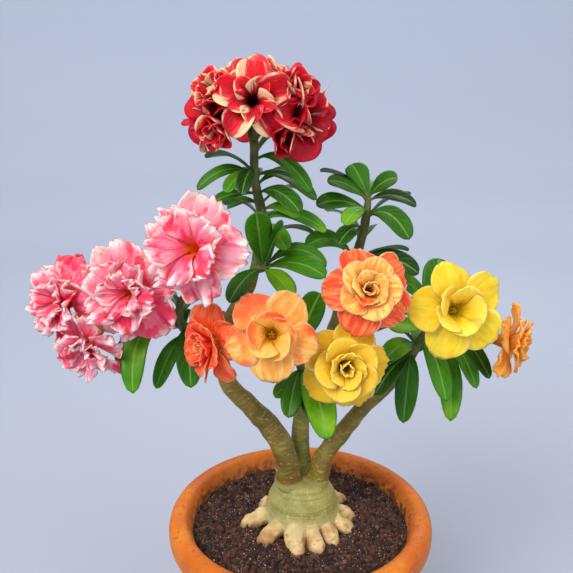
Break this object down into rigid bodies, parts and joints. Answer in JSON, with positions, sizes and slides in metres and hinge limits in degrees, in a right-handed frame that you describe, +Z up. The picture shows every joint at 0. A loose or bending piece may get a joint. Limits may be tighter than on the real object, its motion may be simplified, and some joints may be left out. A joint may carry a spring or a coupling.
{
  "type": "potted desert rose",
  "caption": "Grafted desert rose with a swollen caudex, spreading leafy branches and open blooms of several colours, growing in soil in a round banded terracotta pot.",
  "frame": {"origin": "centre of the underside of the pot", "axes": "+Z up along the pot's axis; the side the plant shows in the picture faces -Y, its tall red-flowered limb to the left at -X"},
  "size_m": [0.417, 0.24, 0.5658],
  "materials": {
    "terracotta": "unglazed fired clay, matt, faintly dusty",
    "soil": "loose dark gritty potting mix with pale flecks",
    "bark": "smooth waxy living bark, grey-green to buff",
    "leaf": "thick glossy leaves and green shoots",
    "petal_red": "soft satin petals, crimson with cream edges",
    "petal_pink": "soft satin petals, pale pink with deep pink waved edges",
    "petal_coral": "soft satin petals, coral red with pale edges",
    "petal_peach": "soft satin petals, peach with coral flushes",
    "petal_yellow": "soft satin petals, clear yellow",
    "petal_orange": "soft satin petals, orange"
  },
  "bodies": {
    "root": {"pot": "terracotta", "soil": "soil", "trunk": "bark", "stem_top": "leaf", "stem_upright": "leaf", "stem_centre": "leaf", "stem_right": "leaf", "stem_left": "leaf", "bloom_red_front": "petal_red", "bloom_red_crown": "petal_red", "bloom_red_rear": "petal_red", "bloom_pink_bunch": "petal_pink", "bloom_pink_middle": "petal_pink", "bloom_pink_top": "petal_pink", "bloom_coral_side": "petal_coral", "bloom_peach": "petal_peach", "bloom_yellow_low": "petal_yellow", "bloom_coral_double": "petal_coral", "bloom_yellow_right": "petal_yellow", "bloom_orange_side": "petal_orange"}
  },
  "joints": []
}
